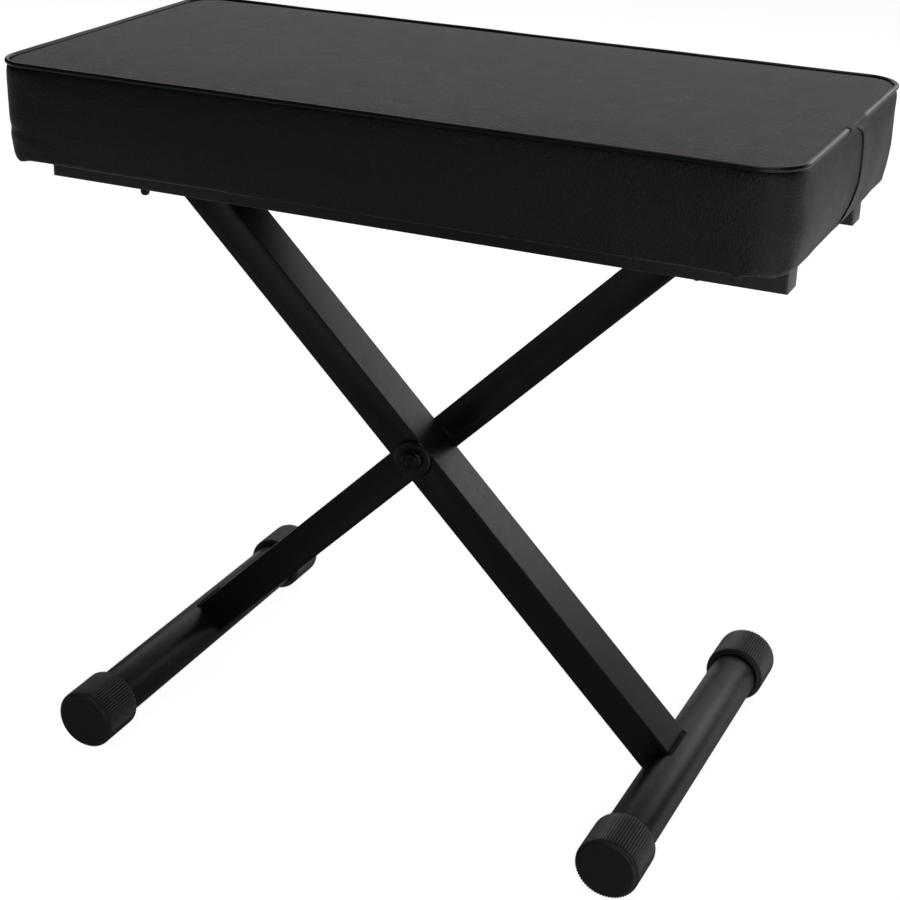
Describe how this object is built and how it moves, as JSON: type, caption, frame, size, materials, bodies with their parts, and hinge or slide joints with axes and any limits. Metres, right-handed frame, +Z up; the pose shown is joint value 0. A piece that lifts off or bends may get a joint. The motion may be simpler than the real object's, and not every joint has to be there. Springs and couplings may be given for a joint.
{
  "type": "keyboard bench",
  "caption": "Folding X-frame keyboard bench: crossed square-tube legs on round feet with ribbed rubber caps carry a padded vinyl seat with piped edges.",
  "frame": {"origin": "on the floor, below the middle of the seat and midway between the two legs", "axes": "+X to the bench's right along the seat, +Y to its back, +Z up"},
  "size_m": [0.613, 0.361, 0.5591],
  "materials": {
    "vinyl": "satin, pebbled leather grain",
    "piping": "semi-gloss vinyl",
    "foam": "open-cell foam",
    "plywood": "dark stained, matt",
    "staple_steel": "bright wire",
    "black_paint": "satin black powder coat",
    "weld": "satin black powder coat over a rippled bead",
    "rubber": "semi-matt moulded rubber",
    "plug_plastic": "fine moulded texture",
    "nylon": "smooth moulded",
    "black_steel": "black oxide, lightly oiled",
    "zinc": "bright zinc"
  },
  "bodies": {
    "front_leg": {"front_leg_tube": "black_paint", "right_foot_tube": "black_paint", "right_foot_front_cap": "rubber", "right_foot_rear_cap": "rubber", "right_foot_weld": "weld", "left_cross_tube": "black_paint", "left_cross_pins": "zinc", "left_cross_weld": "weld", "pivot_bolt": "black_steel", "pivot_front_washer": "black_paint", "pivot_spacer": "nylon", "front_pivot_bush": "zinc", "pivot_rear_washer": "black_steel", "pivot_lock_nut": "black_steel"},
    "rear_leg": {"rear_leg_tube": "black_paint", "left_foot_tube": "black_paint", "left_foot_front_cap": "rubber", "left_foot_rear_cap": "rubber", "left_foot_weld": "weld", "right_cross_tube": "black_paint", "right_cross_pins": "zinc", "right_cross_weld": "weld", "right_cross_glides": "nylon", "rear_pivot_bush": "zinc"},
    "seat": {"cover_top_panel": "vinyl", "cover_side_band": "vinyl", "piping": "piping", "foam_pad": "foam", "seat_board": "plywood", "hem_staples": "staple_steel", "front_rail": "black_paint", "rear_rail": "black_paint", "front_rail_left_plug": "plug_plastic", "front_rail_right_plug": "plug_plastic", "rear_rail_left_plug": "plug_plastic", "rear_rail_right_plug": "plug_plastic", "seat_bolts_left": "black_steel", "seat_bolts_right": "black_steel", "seat_bolt_washers": "black_steel", "tee_nuts": "zinc", "hinge_bushes": "nylon"}
  },
  "joints": [
    {"name": "scissor", "type": "hinge", "parent": "front_leg", "child": "rear_leg", "pos_m": [-0.0078, 0, 0.2535], "axis": [0, 1, 0], "range_deg": [-60, 0]},
    {"name": "seat_hinge", "type": "hinge", "parent": "front_leg", "child": "seat", "pos_m": [-0.2258, 0, 0.4715], "axis": [0, 1, 0], "range_deg": [-30, 0]}
  ],
  "couplings": [
    {"joint": "seat_hinge", "follows": "scissor", "ratio": 0.5}
  ]
}
